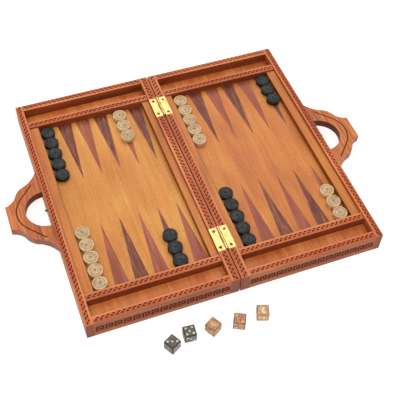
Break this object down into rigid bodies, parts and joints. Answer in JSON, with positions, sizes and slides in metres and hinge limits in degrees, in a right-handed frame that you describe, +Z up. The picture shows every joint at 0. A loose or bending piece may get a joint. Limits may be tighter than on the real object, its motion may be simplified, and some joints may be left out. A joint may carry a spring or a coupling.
{
  "type": "folding backgammon set",
  "caption": "Folding wooden backgammon case lying open, with inlaid points, carved rims, brass butt hinges, side handles, turned checkers, dice and a doubling cube.",
  "frame": {"origin": "on the table, under the middle of the whole set's box: halfway between the handles, and halfway between the back face and the front of the dice", "axes": "+X across both halves, from the left handle to the right, +Y from the players' dice towards the back rail, +Z up"},
  "size_m": [0.529, 0.453, 0.0341],
  "materials": {
    "rail_wood": "orange-brown mahogany, oiled, with a chip-carved band burnt dark",
    "base_wood": "golden-brown hardwood board, oiled",
    "field_wood": "golden straight-grained wood, satin varnish",
    "dark_inlay": "purple-brown rosewood veneer, satin varnish",
    "red_inlay": "brick-red veneer, satin varnish",
    "liner_wood": "light orange-brown strip, oiled",
    "handle_wood": "orange-brown mahogany, oiled and rounded by hand",
    "dowel_wood": "plain beech",
    "hinge_brass": "pale polished brass",
    "hinge_pin_brass": "drawn brass wire",
    "screw_brass": "dulled brass, dark in the slots",
    "catch_metal": "blackened brass",
    "hook_brass": "pale brass strip",
    "light_checker": "turned bone, polished, with fine grey mottling",
    "dark_checker": "turned dark horn, polished, with a bluish sheen",
    "dark_die": "dark grey horn with pale pips",
    "tan_die": "tan bone with ring pips"
  },
  "bodies": {
    "left_half": {"left_outer_rail": "rail_wood", "left_hinge_rail": "rail_wood", "left_front_rail": "rail_wood", "left_back_rail": "rail_wood", "left_base_board": "base_wood", "left_playing_board": "field_wood", "left_dark_points": "dark_inlay", "left_red_points": "red_inlay", "left_front_divider": "rail_wood", "left_back_divider": "rail_wood", "left_outer_liner": "liner_wood", "left_hinge_liner": "liner_wood", "left_handle": "handle_wood", "left_handle_dowels": "dowel_wood", "left_hinge_screws": "screw_brass", "front_hinge_left_leaf": "hinge_brass", "back_hinge_left_leaf": "hinge_brass", "front_hinge_pin": "hinge_pin_brass", "back_hinge_pin": "hinge_pin_brass", "catch_stud": "catch_metal"},
    "right_half": {"right_outer_rail": "rail_wood", "right_hinge_rail": "rail_wood", "right_front_rail": "rail_wood", "right_back_rail": "rail_wood", "right_base_board": "base_wood", "right_playing_board": "field_wood", "right_dark_points": "dark_inlay", "right_red_points": "red_inlay", "right_front_divider": "rail_wood", "right_back_divider": "rail_wood", "right_outer_liner": "liner_wood", "right_hinge_liner": "liner_wood", "right_handle": "handle_wood", "right_handle_dowels": "dowel_wood", "right_hinge_screws": "screw_brass", "front_hinge_right_leaf": "hinge_brass", "back_hinge_right_leaf": "hinge_brass", "hook_screw": "catch_metal"},
    "catch_hook": {"catch_hook": "hook_brass"},
    "left_back_dark_row": {"left_back_dark_row": "dark_checker"},
    "left_back_dark_lead": {"left_back_dark_lead": "dark_checker"},
    "left_back_light_row": {"left_back_light_row": "light_checker"},
    "left_back_light_lead": {"left_back_light_lead": "light_checker"},
    "left_front_light_row": {"left_front_light_row": "light_checker"},
    "left_front_light_lead": {"left_front_light_lead": "light_checker"},
    "left_front_dark_row": {"left_front_dark_row": "dark_checker"},
    "left_front_dark_lead": {"left_front_dark_lead": "dark_checker"},
    "right_back_light_row": {"right_back_light_row": "light_checker"},
    "right_back_light_lead": {"right_back_light_lead": "light_checker"},
    "right_back_dark_row": {"right_back_dark_row": "dark_checker"},
    "right_back_dark_lead": {"right_back_dark_lead": "dark_checker"},
    "right_front_dark_row": {"right_front_dark_row": "dark_checker"},
    "right_front_dark_lead": {"right_front_dark_lead": "dark_checker"},
    "right_front_light_row": {"right_front_light_row": "light_checker"},
    "right_front_light_lead": {"right_front_light_lead": "light_checker"},
    "dark_die_left": {"dark_die_left": "dark_die"},
    "dark_die_right": {"dark_die_right": "dark_die"},
    "tan_die_left": {"tan_die_left": "tan_die"},
    "tan_die_right": {"tan_die_right": "tan_die"},
    "doubling_cube": {"doubling_cube": "tan_die"}
  },
  "joints": [
    {"name": "fold", "type": "hinge", "parent": "left_half", "child": "right_half", "pos_m": [0, 0.02922, 0.03195], "axis": [0, 1, 0], "range_deg": [-180, 0]},
    {"name": "hook_swing", "type": "hinge", "parent": "right_half", "child": "catch_hook", "pos_m": [0.2109, 0.02922, 0.0257], "axis": [1, 0, 0], "range_deg": [-180, 90]},
    {"name": "lift_left_back_dark_row", "type": "slide", "parent": "left_half", "child": "left_back_dark_row", "axis": [0, 0, 1], "range_m": [0, 0.06]},
    {"name": "lift_left_back_dark_lead", "type": "slide", "parent": "left_half", "child": "left_back_dark_lead", "axis": [0, 0, 1], "range_m": [0, 0.06]},
    {"name": "lift_left_back_light_row", "type": "slide", "parent": "left_half", "child": "left_back_light_row", "axis": [0, 0, 1], "range_m": [0, 0.06]},
    {"name": "lift_left_back_light_lead", "type": "slide", "parent": "left_half", "child": "left_back_light_lead", "axis": [0, 0, 1], "range_m": [0, 0.06]},
    {"name": "lift_left_front_light_row", "type": "slide", "parent": "left_half", "child": "left_front_light_row", "axis": [0, 0, 1], "range_m": [0, 0.06]},
    {"name": "lift_left_front_light_lead", "type": "slide", "parent": "left_half", "child": "left_front_light_lead", "axis": [0, 0, 1], "range_m": [0, 0.06]},
    {"name": "lift_left_front_dark_row", "type": "slide", "parent": "left_half", "child": "left_front_dark_row", "axis": [0, 0, 1], "range_m": [0, 0.06]},
    {"name": "lift_left_front_dark_lead", "type": "slide", "parent": "left_half", "child": "left_front_dark_lead", "axis": [0, 0, 1], "range_m": [0, 0.06]},
    {"name": "lift_right_back_light_row", "type": "slide", "parent": "right_half", "child": "right_back_light_row", "axis": [0, 0, 1], "range_m": [0, 0.06]},
    {"name": "lift_right_back_light_lead", "type": "slide", "parent": "right_half", "child": "right_back_light_lead", "axis": [0, 0, 1], "range_m": [0, 0.06]},
    {"name": "lift_right_back_dark_row", "type": "slide", "parent": "right_half", "child": "right_back_dark_row", "axis": [0, 0, 1], "range_m": [0, 0.06]},
    {"name": "lift_right_back_dark_lead", "type": "slide", "parent": "right_half", "child": "right_back_dark_lead", "axis": [0, 0, 1], "range_m": [0, 0.06]},
    {"name": "lift_right_front_dark_row", "type": "slide", "parent": "right_half", "child": "right_front_dark_row", "axis": [0, 0, 1], "range_m": [0, 0.06]},
    {"name": "lift_right_front_dark_lead", "type": "slide", "parent": "right_half", "child": "right_front_dark_lead", "axis": [0, 0, 1], "range_m": [0, 0.06]},
    {"name": "lift_right_front_light_row", "type": "slide", "parent": "right_half", "child": "right_front_light_row", "axis": [0, 0, 1], "range_m": [0, 0.06]},
    {"name": "lift_right_front_light_lead", "type": "slide", "parent": "right_half", "child": "right_front_light_lead", "axis": [0, 0, 1], "range_m": [0, 0.06]},
    {"name": "lift_dark_die_left", "type": "slide", "parent": "left_half", "child": "dark_die_left", "axis": [0, 0, 1], "range_m": [0, 0.06]},
    {"name": "lift_dark_die_right", "type": "slide", "parent": "left_half", "child": "dark_die_right", "axis": [0, 0, 1], "range_m": [0, 0.06]},
    {"name": "lift_tan_die_left", "type": "slide", "parent": "left_half", "child": "tan_die_left", "axis": [0, 0, 1], "range_m": [0, 0.06]},
    {"name": "lift_tan_die_right", "type": "slide", "parent": "left_half", "child": "tan_die_right", "axis": [0, 0, 1], "range_m": [0, 0.06]},
    {"name": "lift_doubling_cube", "type": "slide", "parent": "left_half", "child": "doubling_cube", "axis": [0, 0, 1], "range_m": [0, 0.06]}
  ]
}
